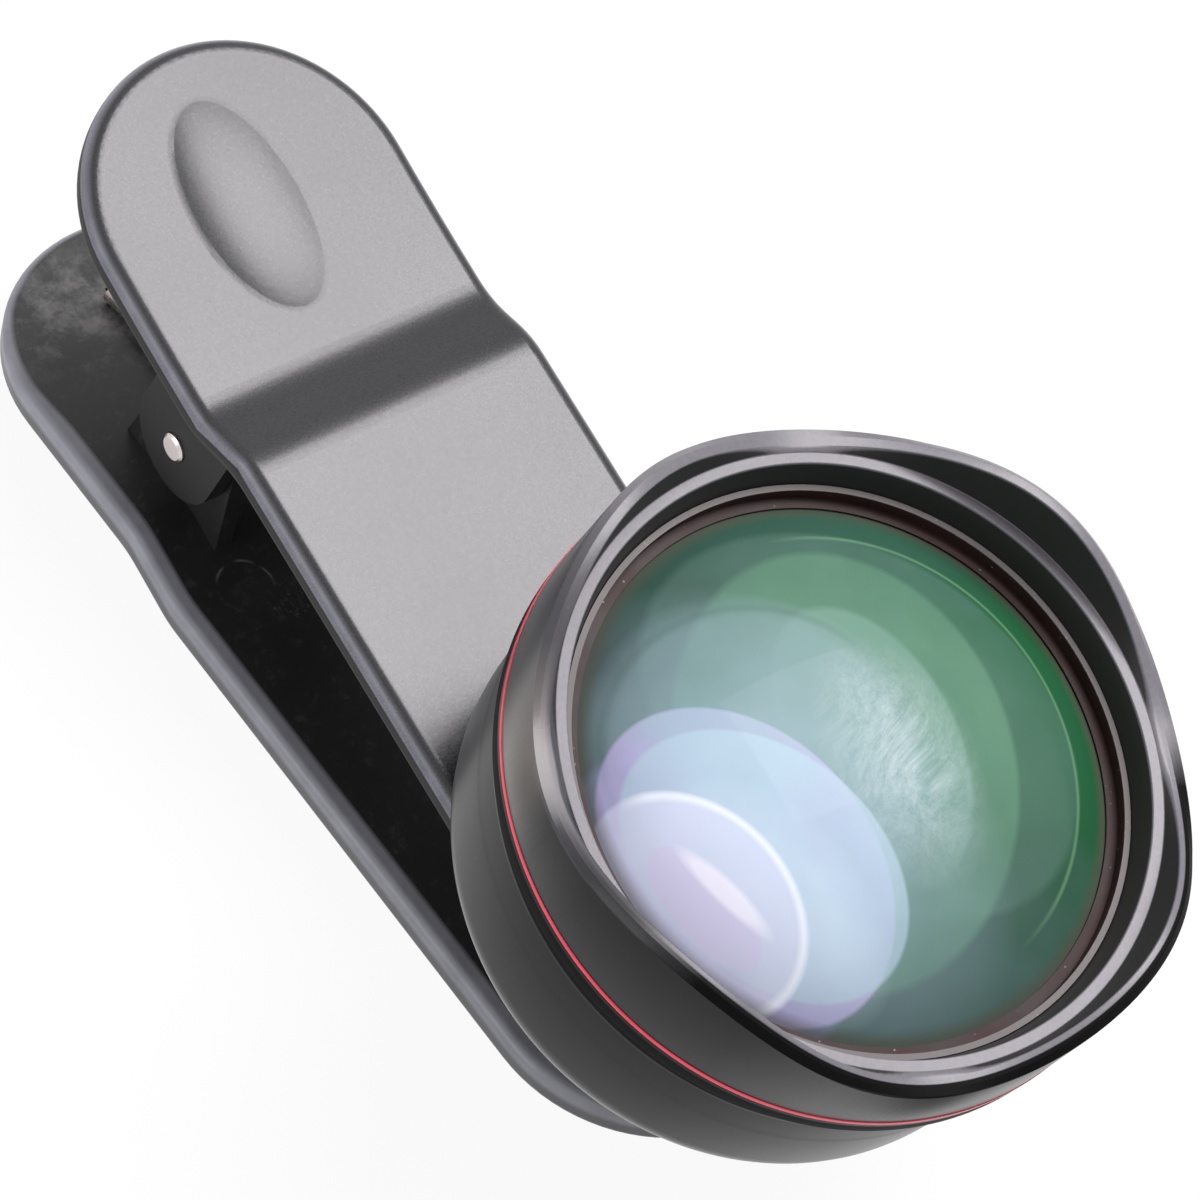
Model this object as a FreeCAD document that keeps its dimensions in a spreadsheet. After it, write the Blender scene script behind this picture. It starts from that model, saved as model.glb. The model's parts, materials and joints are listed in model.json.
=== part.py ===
import FreeCAD, Part
import os
from math import asin, atan2, cos, degrees, hypot, pi, radians, sin

import Sketcher
from FreeCAD import Placement, Rotation, Vector

# Clip-on phone lens, in millimetres, lying on the back arm's outer face.
# Row frame: origin on that face, at the centre of the jaw's rounded end.
# +Y runs along the clip to its thumb end, +Z points up through both arms.

# Driving dimensions, each with the words that say what it measures.
SIZES = [
    ("arm_half_width", 12.5, "half the width of either arm, also the radius of its ends"),
    ("arm_thickness", 2.5, "moulded thickness of either arm"),
    ("trim_margin", 3.0, "stock and cutters past the outline that they are cut to"),
    ("front_outer_round", 1.2, "rounding along the front arm's outer edge"),
    ("back_outer_round", 0.6, "rounding along the back arm's outer edge"),
    ("inner_round", 0.8, "rounding along either arm's inner edge"),
    ("bend_round", 6.5, "rounding of the bends in an arm"),
    ("front_reach", 47.0, "hinge axis to lens axis along the front arm"),
    ("front_thumb_reach", 10.25, "hinge axis to the centre of the front thumb end"),
    ("front_height", 13.65, "hinge axis to the front arm's outer face at the jaw"),
    ("front_step", 2.0, "drop of the front arm's thumb part towards the hinge"),
    ("front_bend_start", 2.5, "hinge axis to the end of the front arm's slope"),
    ("front_bend_run", 4.2, "length of the front arm's slope"),
    ("front_curl", 1.7, "rise of the front thumb end's tip above its root"),
    ("back_reach", 47.25, "hinge axis to the centre of the back jaw end"),
    ("back_thumb_reach", 11.85, "hinge axis to the centre of the back thumb end"),
    ("back_height", 11.05, "hinge axis to the back arm's outer face at the jaw"),
    ("back_step", 1.75, "rise of the back arm's thumb part towards the hinge"),
    ("back_bend_start", 1.1, "hinge axis to the end of the back arm's slope"),
    ("back_bend_run", 5.6, "length of the back arm's slope"),
    ("dimple_half_width", 4.3, "half the width of the thumb dimple"),
    ("dimple_half_length", 7.0, "half the length of the thumb dimple"),
    ("dimple_depth", 0.45, "depth of the thumb dimple"),
    ("dimple_slant", 3.0, "degrees that the dimple's floor slants up towards +X"),
    ("dimple_shift", 0.2, "dimple centre short of the centre of the thumb end"),
    ("dimple_bowl", 2.7, "upright half axis of the ellipsoid that makes the dimple"),
    ("dimple_round", 2.6, "rounding of the dimple's rim"),
    ("lug_thickness", 1.4, "thickness of each hinge lug"),
    ("lug_outer", 9.2, "centre plane to the outside of a front lug"),
    ("lug_gap", 0.3, "side gap between a front lug and a back lug"),
    ("front_lug_radius", 4.35, "rounded end of a front lug"),
    ("back_lug_radius", 4.6, "rounded top of a back lug"),
    ("back_lug_foot", 7.2, "hinge axis to the thumb side of a back lug's foot"),
    ("pin_radius", 1.1, "hinge pin"),
    ("pin_proud", 0.35, "pin end outside the front lug"),
    ("pin_chamfer", 0.2, "chamfer on the pin's ends"),
    ("pin_clearance", 0.04, "radial clearance of the pin in its lugs"),
    ("wire_radius", 0.55, "spring wire"),
    ("coil_radius", 2.9, "centre line of the spring's coil"),
    ("coil_pitch", 1.22, "pitch of the coil"),
    ("coil_turns", 4, "whole turns of the coil"),
    ("coil_shift", 1.7, "middle of the coil past the centre plane"),
    ("front_leg_reach", 15.0, "hinge axis to the tip of the spring's front leg"),
    ("back_leg_reach", 17.4, "hinge axis to the tip of the spring's back leg"),
    ("leg_clearance", 0.12, "spring leg to the arm it presses"),
    ("slot_length", 4.2, "slot under the tip of the back leg"),
    ("slot_width", 1.8, "width of that slot"),
    ("slot_depth", 0.9, "depth of that slot"),
    ("slot_lead", 1.05, "middle of the slot behind the tip of the leg"),
    ("slot_side", 0.9, "middle of the slot beside the centre plane"),
    ("pad_gap", 0.3, "gap between the closed jaw pads"),
    ("front_pad_thickness", 2.75, "rubber ring on the front jaw"),
    ("front_pad_inner", 8.9, "inner radius of the rubber ring"),
    ("front_pad_outer", 11.0, "outer radius of the rubber ring"),
    ("back_pad_thickness", 2.8, "rubber disc on the back jaw"),
    ("back_pad_radius", 9.0, "radius of the rubber disc"),
    ("pad_round", 0.5, "rounding of the pads' edges"),
    ("thread_radius", 8.5, "bore of the mount ring and of the barrel's rear wall"),
    ("thread_clearance", 0.06, "radial clearance of the mount neck in them"),
    ("neck_inner", 6.7, "light path through the mount neck"),
    ("neck_flare", 7.6, "light path at the neck's rear end"),
    ("neck_flare_length", 1.4, "length of that flare"),
    ("neck_end", 2.2, "neck's rear end behind the arm's outer face"),
    ("neck_top", 7.0, "neck's front end above the arm's outer face"),
    ("insert_radius", 10.0, "tube of the mount ring inside the arm"),
    ("insert_flange", 12.0, "flange of the mount ring on the arm"),
    ("insert_flange_height", 0.9, "height of that flange"),
    ("insert_collar", 10.8, "collar of the mount ring"),
    ("insert_height", 3.0, "collar's height above the arm"),
    ("washer_inner", 8.7, "inner radius of the seat washer"),
    ("washer_outer", 10.4, "outer radius of the seat washer"),
    ("barrel_rear", 3.55, "barrel's rear face above the arm"),
    ("shoulder_radius", 6.0, "rounded rear shoulder of the barrel"),
    ("flange_radius", 21.9, "outer radius of the flange and the hood"),
    ("rear_inset", 1.65, "flange to the barrel's side just ahead of the shoulder"),
    ("front_inset", 0.75, "flange to the barrel's side just behind the groove"),
    ("groove_inset", 1.2, "flange to the bottom of the groove behind it"),
    ("groove_width", 0.3, "width of that groove"),
    ("flange_height", 1.4, "straight side of the flange"),
    ("flange_chamfer", 0.9, "chamfer behind the flange"),
    ("joint_height", 21.25, "flange's front face above the arm"),
    ("rear_wall", 2.05, "thickness of the barrel's rear wall"),
    ("cavity_inset", 3.9, "flange to the side of the barrel's cavity"),
    ("cone_gap", 1.1, "rear cell's flange to the edge of the cavity's floor"),
    ("spigot_inset", 2.05, "flange to the bore that takes the hood's spigot"),
    ("spigot_clearance", 0.05, "radial clearance of the spigot"),
    ("spigot_length", 8.05, "length of that bore"),
    ("accent_width", 0.4, "width of the red ring"),
    ("accent_proud", 0.05, "red ring outside the flange"),
    ("baffle_thickness", 0.85, "thickness of the light baffle"),
    ("baffle_opening", 11.4, "opening of the light baffle"),
    ("spigot_wall", 0.8, "spigot bore to the bore round the front glasses"),
    ("seat_width", 1.85, "width of the seat behind the front glasses"),
    ("ledge_rise", 5.55, "flange to the outer step inside the hood"),
    ("ledge_inset", 2.3, "hood's outside to the inner edge of that step"),
    ("hood_wall_low", 1.55, "hood's wall at the step"),
    ("hood_wall_high", 1.1, "hood's wall at the top"),
    ("rim_rise", 7.25, "flange to the mean height of the wavy rim"),
    ("rim_wave", 1.65, "height of a petal above that mean"),
    ("petals", 4, "number of petals"),
    ("petal_angle", 22.0, "direction of the first petal from +X"),
    ("rim_chamfer", 0.45, "chamfer outside the rim"),
    ("rim_samples", 12, "points that guide the rim's curve in each petal"),
    ("glass_clearance", 0.1, "radial clearance of the front glasses"),
    ("glass_rise", 2.35, "flange to the front glass at its clear radius"),
    ("glass_curve", 34.0, "radius of curvature of the front glass"),
    ("crown_depth", 5.15, "clear edge of the front glass to its rear face"),
    ("flint_depth", 3.45, "rear face of the front glass to the seat"),
    ("flint_curve", 90.0, "rear curvature of the second glass"),
    ("retainer_gap", 0.05, "front retaining ring above the glass"),
    ("retainer_lip", 0.15, "thickness of its thin inner lip"),
    ("retainer_clearance", 0.05, "radial clearance of the ring in the hood"),
    ("retainer_ridge", 0.4, "width of its raised part"),
    ("retainer_width", 1.1, "width of the ring over the glass"),
    ("retainer_rise", 1.25, "clear edge of the glass to the top of the ring"),
    ("cell_flange_width", 2.5, "flange of the rear cell outside its tube"),
    ("cell_flange_height", 0.9, "thickness of that flange"),
    ("cell_outer", 11.0, "outer radius of the rear cell's tube"),
    ("cell_inner", 9.0, "bore of the rear cell round its glasses"),
    ("cell_opening", 7.6, "opening behind the rear glasses"),
    ("cell_lip", 0.8, "thickness of the lip behind the rear glasses"),
    ("cell_top", 13.0, "rear cell's front end above the arm"),
    ("small_clearance", 0.05, "radial clearance of the rear glasses"),
    ("rear_glass_edge", 2.0, "edge thickness of the rearmost glass"),
    ("rear_glass_curve", 40.0, "front curvature of the rearmost glass"),
    ("spacer_length", 0.9, "rear spacer"),
    ("spacer_inner", 7.9, "opening of the rear spacer and its retaining ring"),
    ("middle_glass_edge", 0.8, "edge thickness of the glass ahead of it"),
    ("middle_glass_curve", 22.0, "front curvature of that glass"),
]

os.makedirs("parts", exist_ok=True)
doc = FreeCAD.newDocument("clip_on_lens")
sheet = doc.addObject("Spreadsheet::Sheet", "dims")
for row, (alias, number, meaning) in enumerate(SIZES, start=1):
    sheet.set("A%d" % row, meaning)
    sheet.set("B%d" % row, str(number))
    sheet.setAlias("B%d" % row, alias)
doc.recompute()


class Size:
    """A number together with the spreadsheet expression that gives it."""

    def __init__(self, value, text):
        self.value = value
        self.text = text

    def __add__(self, other):
        other = sized(other)
        return Size(self.value + other.value, "(%s + %s)" % (self.text, other.text))

    def __sub__(self, other):
        other = sized(other)
        return Size(self.value - other.value, "(%s - %s)" % (self.text, other.text))

    def __mul__(self, other):
        other = sized(other)
        return Size(self.value * other.value, "(%s * %s)" % (self.text, other.text))

    def __truediv__(self, other):
        other = sized(other)
        return Size(self.value / other.value, "(%s / %s)" % (self.text, other.text))

    def __neg__(self):
        return ZERO - self

    def root(self):
        return Size(self.value ** 0.5, "sqrt(%s)" % self.text)


def sized(number):
    """A plain number as a Size, a Size as it is."""
    if isinstance(number, Size):
        return number
    return Size(float(number), str(number))


class Sizes:
    """Every cell of the sheet as a Size, by its alias."""

    def __getattr__(self, alias):
        return Size(float(sheet.get(alias)), "dims." + alias)


ZERO = Size(0.0, "0")
d = Sizes()

# Places that several pieces share, in the lens's own frame.
spigot_bore = d.flange_radius - d.spigot_inset
barrel_ledge = d.joint_height - d.spigot_length
cell_bore = spigot_bore - d.spigot_wall
glass_radius = cell_bore - d.glass_clearance
retainer_outer = cell_bore - d.retainer_clearance
glass_clear = glass_radius - d.retainer_width
glass_height = d.joint_height + d.glass_rise
crown_rear = glass_height - d.crown_depth
cell_seat_height = crown_rear - d.flint_depth
retainer_top = glass_height + d.retainer_rise
rim_mean = d.joint_height + d.rim_rise
hood_ledge = d.joint_height + d.ledge_rise
ledge_inner = d.flange_radius - d.ledge_inset
hood_wall_low = d.flange_radius - d.hood_wall_low
cell_flange = d.cell_outer + d.cell_flange_width


def sagitta(curve, radius):
    """Depth of a spherical cap of the given curvature and edge radius."""
    return curve - (curve * curve - radius * radius).root()


# Sketch helpers

def origin_plane(body, role):
    """One of a body's own origin planes."""
    return [item for item in body.Origin.OriginFeatures if item.Role == role][0]


def pin_point(sketch, geometry, position, across, up):
    """Hold one sketch point at two driven coordinates."""
    for value, kind, axis in ((across, "DistanceX", -2), (up, "DistanceY", -1)):
        if value.text == "0":
            sketch.addConstraint(Sketcher.Constraint("PointOnObject", geometry, position, axis))
            continue
        index = sketch.addConstraint(
            Sketcher.Constraint(kind, -1, 1, geometry, position, value.value))
        sketch.setExpression("Constraints[%d]" % index, value.text)


def arc_between(start, finish, radius, turn):
    """Short arc between two points; turn is 1 anticlockwise and -1 clockwise."""
    chord = finish - start
    left = Vector(-chord.y, chord.x, 0).normalize()
    height = max(radius * radius - chord.Length * chord.Length / 4, 0) ** 0.5
    centre = (start + finish) * 0.5 + left * (height * turn)
    first, last = (start, finish) if turn > 0 else (finish, start)
    low = atan2(first.y - centre.y, first.x - centre.x)
    high = atan2(last.y - centre.y, last.x - centre.x)
    if high < low:
        high += 2 * pi
    return Part.ArcOfCircle(Part.Circle(centre, Vector(0, 0, 1), radius), low, high)


def add_outline(sketch, outline):
    """Closed outline. A corner is (across, up), or with (radius, turn) when an arc leaves it."""
    first = sketch.GeometryCount
    ends = []
    for number, corner in enumerate(outline):
        following = outline[(number + 1) % len(outline)]
        start = Vector(corner[0].value, corner[1].value, 0)
        finish = Vector(following[0].value, following[1].value, 0)
        if len(corner) == 2:
            sketch.addGeometry(Part.LineSegment(start, finish), False)
            ends.append((1, 2))
            continue
        radius, turn = corner[2:]
        index = sketch.addGeometry(arc_between(start, finish, radius.value, turn), False)
        ends.append((1, 2) if turn > 0 else (2, 1))
        held = sketch.addConstraint(Sketcher.Constraint("Radius", index, radius.value))
        sketch.setExpression("Constraints[%d]" % held, radius.text)
    for number, corner in enumerate(outline):
        after = (number + 1) % len(outline)
        sketch.addConstraint(Sketcher.Constraint(
            "Coincident", first + number, ends[number][1], first + after, ends[after][0]))
        pin_point(sketch, first + number, ends[number][0], corner[0], corner[1])


def add_circle(sketch, across, up, radius):
    """Circle with a driven centre and radius."""
    centre = Vector(across.value, up.value, 0)
    index = sketch.addGeometry(Part.Circle(centre, Vector(0, 0, 1), radius.value), False)
    held = sketch.addConstraint(Sketcher.Constraint("Radius", index, radius.value))
    sketch.setExpression("Constraints[%d]" % held, radius.text)
    pin_point(sketch, index, 3, across, up)


def new_body(label):
    """Body that carries its node's name."""
    body = doc.addObject("PartDesign::Body", label)
    body.Label = label
    return body


def new_sketch(body, role, name, lift=None):
    """Sketch on an origin plane of the body, lifted off it if asked."""
    sketch = body.newObject("Sketcher::SketchObject", name)
    sketch.AttachmentSupport = [(origin_plane(body, role), "")]
    sketch.MapMode = "FlatFace"
    if lift is not None:
        sketch.setExpression("AttachmentOffset.Base.z", lift.text)
    return sketch


def turned(label, outline):
    """Piece turned about its own Z axis from an outline of (radius, height) corners."""
    body = new_body(label)
    sketch = new_sketch(body, "XZ_Plane", label + "_section")
    add_outline(sketch, outline)
    doc.recompute()
    turn = body.newObject("PartDesign::Revolution", label + "_turn")
    turn.Profile = sketch
    turn.ReferenceAxis = (sketch, ["V_Axis"])
    turn.Angle = 360
    sketch.Visibility = False
    doc.recompute()
    return body


def pad(body, sketch, name, length, both_ways=False):
    """Pad of a sketch, one way or equally both ways."""
    feature = body.newObject("PartDesign::Pad", name)
    feature.Profile = sketch
    feature.setExpression("Length", length.text)
    feature.Midplane = both_ways
    doc.recompute()
    return feature


def cut_through(body, sketch, name):
    """Pocket that runs through the whole body both ways."""
    before = body.Shape.Volume
    feature = body.newObject("PartDesign::Pocket", name)
    feature.Profile = sketch
    feature.Type = "ThroughAll"
    feature.Midplane = True
    doc.recompute()
    if not body.Shape.Volume < before:
        raise RuntimeError(name + " cuts nothing")
    return feature


def round_edges(body, name, radius, chosen):
    """Fillet on the edges that a test picks."""
    base = body.Tip
    picked = []
    for number, edge in enumerate(base.Shape.Edges, start=1):
        if chosen(edge):
            picked.append("Edge%d" % number)
    if not picked:
        raise RuntimeError(name + " finds no edge")
    feature = body.newObject("PartDesign::Fillet", name)
    feature.Base = (base, picked)
    feature.setExpression("Radius", radius.text)
    doc.recompute()
    return feature


# Arms. Both are drawn about the hinge axis. The front arm lies on the +Z side
# of it and the back arm on the -Z side, so side is 1 or -1.

def arm_levels(side, height, step):
    """Heights of the outer and inner face, at the jaw and at the thumb end."""
    jaw_outer = height * side
    jaw_inner = (height - d.arm_thickness) * side
    thumb_outer = (height - step) * side
    thumb_inner = (height - step - d.arm_thickness) * side
    return jaw_outer, jaw_inner, thumb_outer, thumb_inner


def curl_rise(along, root, tip, curl):
    """Rise of a curled thumb part at a distance along the arm."""
    share = (along - root) / (tip - root)
    return curl * share * share


def bent_plate(label, side, reach, thumb_reach, height, step, bend_start, bend_run, curl, outer):
    """Plate with one slope in it, cut to an outline with two round ends."""
    body = new_body(label)
    jaw_outer, jaw_inner, thumb_outer, thumb_inner = arm_levels(side, height, step)
    jaw_end = -(reach + d.arm_half_width)
    thumb_end = thumb_reach + d.arm_half_width
    slope_low = -(bend_start + bend_run)
    slope_high = -bend_start
    outer_root = (slope_high, thumb_outer)
    inner_tip = (thumb_end, thumb_inner + curl)
    if curl.value:
        # The curled part starts level and keeps one radius up to the tip.
        length = thumb_end - slope_high
        radius = (length * length + curl * curl) / (curl + curl)
        outer_root += (radius, 1)
        inner_tip += (radius, -1)
    section = new_sketch(body, "YZ_Plane", label + "_section")
    add_outline(section, [
        (jaw_end, jaw_outer), (slope_low, jaw_outer),
        outer_root, (thumb_end, thumb_outer + curl),
        inner_tip, (slope_high, thumb_inner),
        (slope_low, jaw_inner), (jaw_end, jaw_inner)])
    doc.recompute()
    half = d.arm_half_width
    beyond = half + d.trim_margin
    pad(body, section, label + "_plate", beyond + beyond, both_ways=True)
    bends = (slope_low.value, slope_high.value)

    def is_bend(edge):
        middle = edge.CenterOfMass
        straight = edge.Length > 2 * half.value
        return straight and min(abs(middle.y - bend) for bend in bends) < 0.01

    round_edges(body, label + "_bends", d.bend_round, is_bend)

    outline = new_sketch(body, "XY_Plane", label + "_outline")
    wide = beyond + d.trim_margin
    add_outline(outline, [
        (-wide, -(reach + wide)), (wide, -(reach + wide)),
        (wide, thumb_reach + wide), (-wide, thumb_reach + wide)])
    add_outline(outline, [
        (half, -reach), (half, thumb_reach, half, 1),
        (ZERO, thumb_end, half, 1), (-half, thumb_reach),
        (-half, -reach, half, 1), (ZERO, jaw_end, half, 1)])
    doc.recompute()
    cut_through(body, outline, label + "_trim")

    def on_outline(point):
        along = min(max(point.y, -reach.value), thumb_reach.value)
        return abs(hypot(point.x, point.y - along) - half.value) < 0.02

    def middle_height(along):
        low, high = slope_low.value, slope_high.value
        share = min(max((along - low) / (high - low), 0.0), 1.0)
        rise = curl_rise(max(along, high), high, thumb_end.value, curl.value)
        return side * (height.value - step.value * share - d.arm_thickness.value / 2) + rise

    def rim_test(outward):
        def chosen(edge):
            points = edge.discretize(5)
            if not all(on_outline(point) for point in points):
                return False
            return all((point.z - middle_height(point.y)) * side * outward > 0.2
                       for point in points)
        return chosen

    round_edges(body, label + "_outer_edge", outer, rim_test(1))
    round_edges(body, label + "_inner_edge", d.inner_round, rim_test(-1))
    return body


def lug_pair(body, outline, outside):
    """The same lug on either side of the centre plane, out to the given distance."""
    for name, lift in (("right", outside - d.lug_thickness), ("left", -outside)):
        sketch = new_sketch(body, "YZ_Plane", "%s_lug_%s" % (body.Label, name), lift)
        add_outline(sketch, outline)
        doc.recompute()
        pad(body, sketch, "%s_lug_pad_%s" % (body.Label, name), d.lug_thickness)


def pin_hole(body):
    """Bore for the hinge pin through both lugs."""
    sketch = new_sketch(body, "YZ_Plane", body.Label + "_pin_circle")
    add_circle(sketch, ZERO, ZERO, d.pin_radius + d.pin_clearance)
    doc.recompute()
    cut_through(body, sketch, body.Label + "_pin_hole")


def front_arm():
    """Arm with the lens hole, the thumb dimple and the outer lugs."""
    body = bent_plate("front_arm", 1, d.front_reach, d.front_thumb_reach, d.front_height,
                      d.front_step, d.front_bend_start, d.front_bend_run, d.front_curl,
                      d.front_outer_round)
    hole = new_sketch(body, "XY_Plane", "front_arm_lens_circle")
    add_circle(hole, ZERO, -d.front_reach, d.insert_radius)
    doc.recompute()
    cut_through(body, hole, "front_arm_lens_hole")

    # The dimple is part of an ellipsoid whose section at the face is the dimple's outline.
    # It leans with the curled face, and its floor slants across the arm.
    bowl = d.dimple_bowl
    lift = bowl - d.dimple_depth
    share = (ZERO + 1 - (lift / bowl) * (lift / bowl)).root()
    root = -d.front_bend_start
    tip = d.front_thumb_reach + d.arm_half_width
    middle = d.front_thumb_reach - d.dimple_shift
    height = d.front_height - d.front_step
    rise = curl_rise(middle, root, tip, d.front_curl)
    lean = atan2(2 * rise.value, (middle - root).value)
    dimple = body.newObject("PartDesign::SubtractiveEllipsoid", "front_arm_dimple")
    dimple.setExpression("Radius1", bowl.text)
    dimple.setExpression("Radius2", (d.dimple_half_width / share).text)
    dimple.setExpression("Radius3", (d.dimple_half_length / share).text)
    slant = Rotation(Vector(0, 1, 0), -d.dimple_slant.value)
    dimple.Placement = Placement(
        Vector(0, 0, 0), Rotation(Vector(1, 0, 0), degrees(lean)) * slant)
    dimple.setExpression("Placement.Base.y", middle.text)
    dimple.setExpression("Placement.Base.z", (height + rise + lift).text)
    doc.recompute()

    def is_dimple_rim(edge):
        if edge.Degenerated:
            return False
        box = edge.BoundBox
        reach = d.dimple_half_width.value + d.dimple_round.value
        inside = max(-box.XMin, box.XMax) < reach and box.YMin > root.value
        return inside and box.ZMin > height.value and box.XLength > d.dimple_depth.value

    round_edges(body, "front_arm_dimple_rim", d.dimple_round, is_dimple_rim)

    radius = d.front_lug_radius
    root = height - d.arm_thickness / 2
    lug_pair(body, [
        (-radius, ZERO, radius, 1), (ZERO, -radius, radius, 1),
        (radius, ZERO), (radius, root), (-radius, root)], d.lug_outer)
    pin_hole(body)
    return body


def back_arm():
    """Arm with the inner lugs and a slot under the tip of the spring's leg."""
    body = bent_plate("back_arm", -1, d.back_reach, d.back_thumb_reach, d.back_height,
                      d.back_step, d.back_bend_start, d.back_bend_run, ZERO,
                      d.back_outer_round)
    radius = d.back_lug_radius
    foot = d.back_lug_foot
    root = -(d.back_height - d.back_step - d.arm_thickness / 2)

    # The thumb side of the lug runs from its foot to where it touches the round top.
    # The touching point comes from the foot's distance and angle about the hinge axis.
    far = foot * foot + root * root
    run = (far - radius * radius).root()
    touch_across = (foot * radius - root * run) * radius / far
    touch_up = (root * radius + foot * run) * radius / far
    lug_pair(body, [
        (-radius, root), (foot, root), (touch_across, touch_up, radius, 1),
        (ZERO, radius, radius, 1), (-radius, ZERO)],
        d.lug_outer - d.lug_thickness - d.lug_gap)
    pin_hole(body)

    slot = new_sketch(body, "XY_Plane", "back_arm_slot_outline",
                      -(d.back_height - d.back_step - d.arm_thickness))
    middle = d.back_leg_reach - d.slot_lead
    centre = -d.slot_side
    add_outline(slot, [
        (centre - d.slot_width / 2, middle - d.slot_length / 2),
        (centre + d.slot_width / 2, middle - d.slot_length / 2),
        (centre + d.slot_width / 2, middle + d.slot_length / 2),
        (centre - d.slot_width / 2, middle + d.slot_length / 2)])
    doc.recompute()
    before = body.Shape.Volume
    pocket = body.newObject("PartDesign::Pocket", "back_arm_slot")
    pocket.Profile = slot
    pocket.setExpression("Length", d.slot_depth.text)
    doc.recompute()
    if not body.Shape.Volume < before:
        raise RuntimeError("the slot cuts nothing")
    return body


# Hinge parts

def hinge_pin():
    """Steel pin with a small chamfer at both ends, drawn along its own Z axis."""
    half = d.lug_outer + d.pin_proud
    inner = d.pin_radius - d.pin_chamfer
    return turned("hinge_pin", [
        (ZERO, -half), (inner, -half), (d.pin_radius, -half + d.pin_chamfer),
        (d.pin_radius, half - d.pin_chamfer), (inner, half), (ZERO, half)])


def closed_angle():
    """Angle between the arms when the back pad's tip edge nearly meets the front pad."""
    reach = d.back_reach.value + d.back_pad_radius.value
    drop = d.back_height.value - d.arm_thickness.value - d.back_pad_thickness.value
    face = d.front_height.value - d.arm_thickness.value - d.front_pad_thickness.value
    return atan2(drop, reach) + asin((face - d.pad_gap.value) / hypot(drop, reach))


def torsion_spring(angle):
    """Coil about the hinge axis with a straight leg that bears on each arm."""
    radius = d.coil_radius.value
    wire = d.wire_radius.value
    standoff = wire + d.leg_clearance.value
    thickness = d.arm_thickness.value
    front_face = d.front_height.value - d.front_step.value - thickness
    back_face = d.back_height.value - d.back_step.value - thickness
    curl = curl_rise(d.front_leg_reach.value, -d.front_bend_start.value,
                     d.front_thumb_reach.value + d.arm_half_width.value, d.front_curl.value)
    front_tip = (d.front_leg_reach.value, front_face + curl - standoff)
    back_tip = (d.back_leg_reach.value, standoff - back_face)

    def tangent(tip, turn):
        distance = hypot(*tip)
        return atan2(tip[1], tip[0]) + turn * (pi / 2 - asin(radius / distance))

    start = tangent(back_tip, -1)
    finish = tangent(front_tip, 1) + angle
    sweep = (start - finish) % (2 * pi) + 2 * pi * int(d.coil_turns.value)
    pitch = d.coil_pitch.value
    length = pitch * sweep / (2 * pi)
    shift = d.coil_shift.value
    coil = Part.makeHelix(pitch, length, radius, 0, True)
    coil.rotate(Vector(0, 0, 0), Vector(0, 0, 1), degrees(start))
    coil.translate(Vector(0, 0, shift - length / 2))

    def leg(turn_angle, level, tip, way):
        """Straight leg that leaves the coil along the wire's own direction."""
        point = Vector(radius * cos(turn_angle), radius * sin(turn_angle), level)
        reach = (hypot(*tip) ** 2 - radius ** 2) ** 0.5
        flat = Vector(-sin(turn_angle), cos(turn_angle), 0) * way
        rise = -way * pitch / (2 * pi * radius)
        return point, point + (flat + Vector(0, 0, rise)) * reach

    root, tip = leg(start, shift - length / 2, back_tip, 1)
    back_leg = Part.makeLine(tip, root)
    root, tip = leg(finish, shift + length / 2, front_tip, -1)
    front_leg = Part.makeLine(root, tip)
    path = Part.Wire([back_leg] + list(coil.Edges) + [front_leg])
    first = path.OrderedEdges[0]
    begin = first.valueAt(first.FirstParameter)
    along = first.tangentAt(first.FirstParameter)
    section = Part.Wire([Part.makeCircle(wire, begin, along)])
    shape = path.makePipeShell([section], True, True)

    feature = doc.addObject("Part::Feature", "torsion_spring")
    feature.Label = "torsion_spring"
    feature.Shape = shape
    return feature


# Jaw pads and the threaded insert

def front_jaw_pad():
    """Rubber ring under the front jaw, drawn about the lens axis."""
    face = -d.arm_thickness
    low = face - d.front_pad_thickness
    return turned("front_jaw_pad", [
        (d.front_pad_inner, face), (d.front_pad_inner, low),
        (d.front_pad_outer - d.pad_round, low, d.pad_round, 1),
        (d.front_pad_outer, low + d.pad_round), (d.front_pad_outer, face)])


def back_jaw_pad():
    """Rubber disc on the back jaw."""
    face = d.arm_thickness
    top = face + d.back_pad_thickness
    return turned("back_jaw_pad", [
        (ZERO, face), (d.back_pad_radius, face),
        (d.back_pad_radius, top - d.pad_round, d.pad_round, 1),
        (d.back_pad_radius - d.pad_round, top), (ZERO, top)])


def mount_ring():
    """Threaded insert: a tube in the arm, a flange on it and a collar."""
    return turned("mount_ring", [
        (d.thread_radius, -d.arm_thickness), (d.insert_radius, -d.arm_thickness),
        (d.insert_radius, ZERO), (d.insert_flange, ZERO),
        (d.insert_flange, d.insert_flange_height), (d.insert_collar, d.insert_flange_height),
        (d.insert_collar, d.insert_height), (d.thread_radius, d.insert_height)])


# Lens, drawn about its own axis with height 0 at the front arm's outer face

def mount_neck():
    """Sleeve whose thread joins the barrel to the mount ring."""
    outer = d.thread_radius - d.thread_clearance
    return turned("mount_neck", [
        (d.neck_flare, -d.neck_end), (outer, -d.neck_end), (outer, d.neck_top),
        (d.neck_inner, d.neck_top), (d.neck_inner, d.neck_flare_length - d.neck_end)])


def seat_washer():
    """Washer between the mount ring and the barrel's rear face."""
    return turned("seat_washer", [
        (d.washer_inner, d.insert_height), (d.washer_outer, d.insert_height),
        (d.washer_outer, d.barrel_rear), (d.washer_inner, d.barrel_rear)])


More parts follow.
